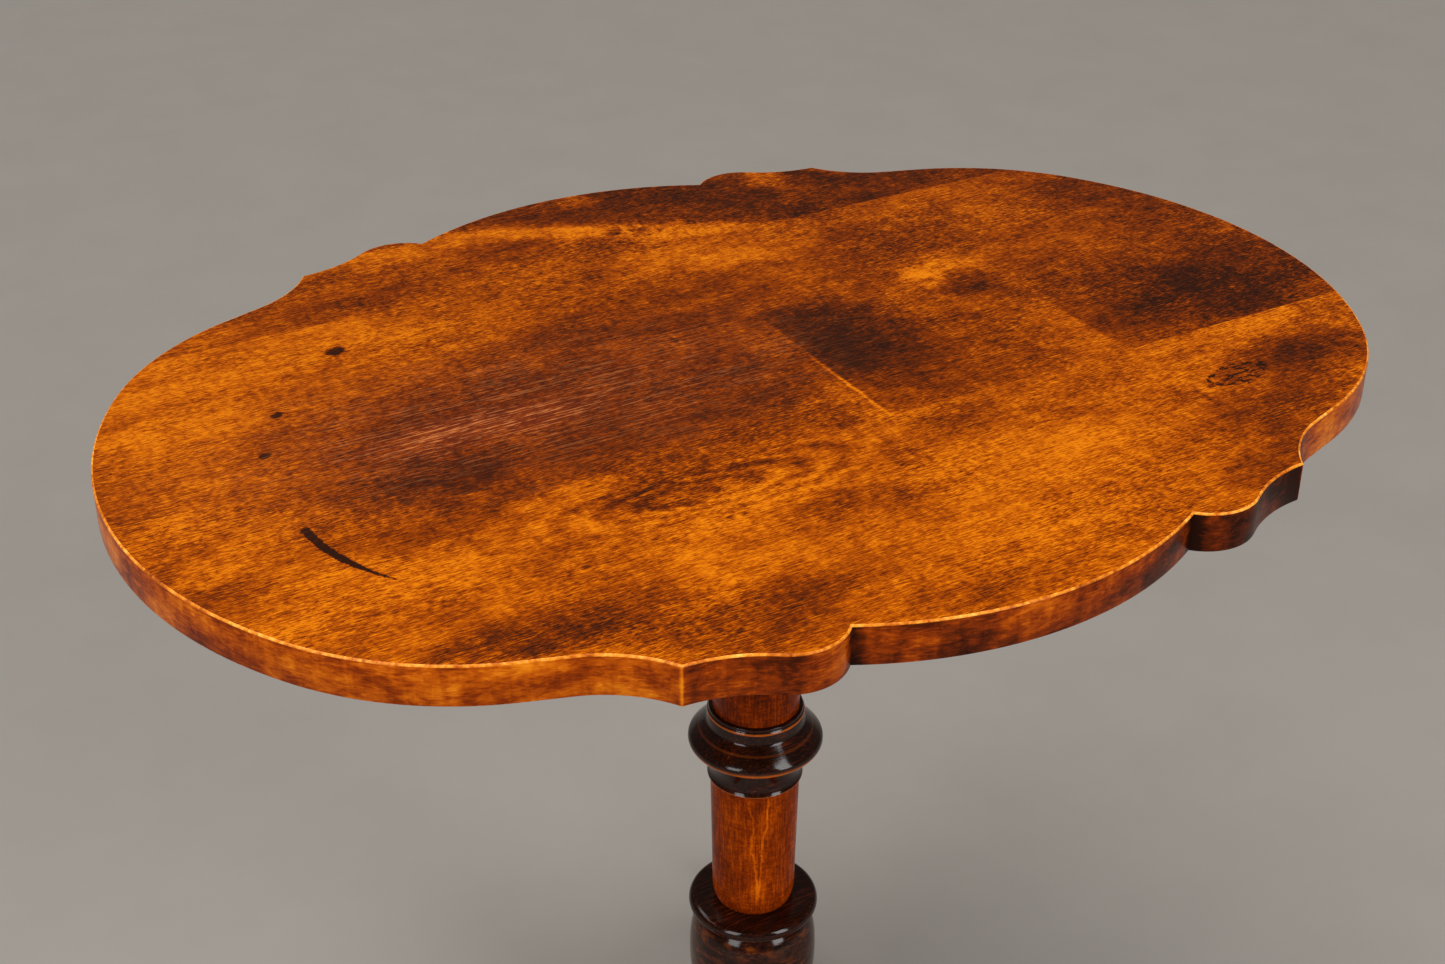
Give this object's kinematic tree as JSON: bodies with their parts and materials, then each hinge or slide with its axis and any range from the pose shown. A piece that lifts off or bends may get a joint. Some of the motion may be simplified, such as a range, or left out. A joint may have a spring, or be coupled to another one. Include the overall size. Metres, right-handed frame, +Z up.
{
  "type": "tilt top table",
  "caption": "Pedestal table with a shaped oval wooden top that tilts upright on two pins, a turned pillar with dark rings, and a tripod base.",
  "frame": {"origin": "on the floor, under the pillar's axis, which is also the middle of the top", "axes": "+X along the top's long axis, +Y towards the edge that lifts when the top tilts, +Z up"},
  "size_m": [0.94, 0.6968, 0.75],
  "materials": {
    "stained_top": "semi-gloss shellac over golden brown stain",
    "stained_wood": "semi-gloss shellac over red-brown stain",
    "ebonised_wood": "glossy black-brown lacquer, rubbed at the edges",
    "pale_wood": "bare",
    "iron": "dark, oiled",
    "brass": "dulled"
  },
  "bodies": {
    "stand": {"pivot_block": "stained_wood", "pivot_pins": "iron", "tenon_wedge": "pale_wood", "strike_plate": "brass", "strike_screws": "brass", "pillar_neck": "stained_wood", "upper_ring": "ebonised_wood", "pillar_shaft": "stained_wood", "lower_disc": "ebonised_wood", "lower_bulb": "ebonised_wood", "hub": "stained_wood", "leg_left": "stained_wood", "leg_front": "stained_wood", "leg_back": "stained_wood", "leg_dowels": "pale_wood", "brace": "iron", "brace_screws": "iron"},
    "top": {"top_board_front": "stained_top", "top_board_middle": "stained_top", "top_board_back": "stained_top", "bearer_left": "stained_wood", "bearer_right": "stained_wood", "bearer_screws": "iron", "catch_plate": "brass", "catch_housing": "brass", "catch_screws": "brass"},
    "bolt": {"catch_bolt": "iron", "catch_knob": "brass"}
  },
  "joints": [
    {"name": "top_tilt", "type": "hinge", "parent": "stand", "child": "top", "pos_m": [0, -0.0525, 0.6985], "axis": [1, 0, 0], "range_deg": [0, 90]},
    {"name": "catch_slide", "type": "slide", "parent": "top", "child": "bolt", "axis": [0, -1, 0], "range_m": [0, 0.01]}
  ]
}
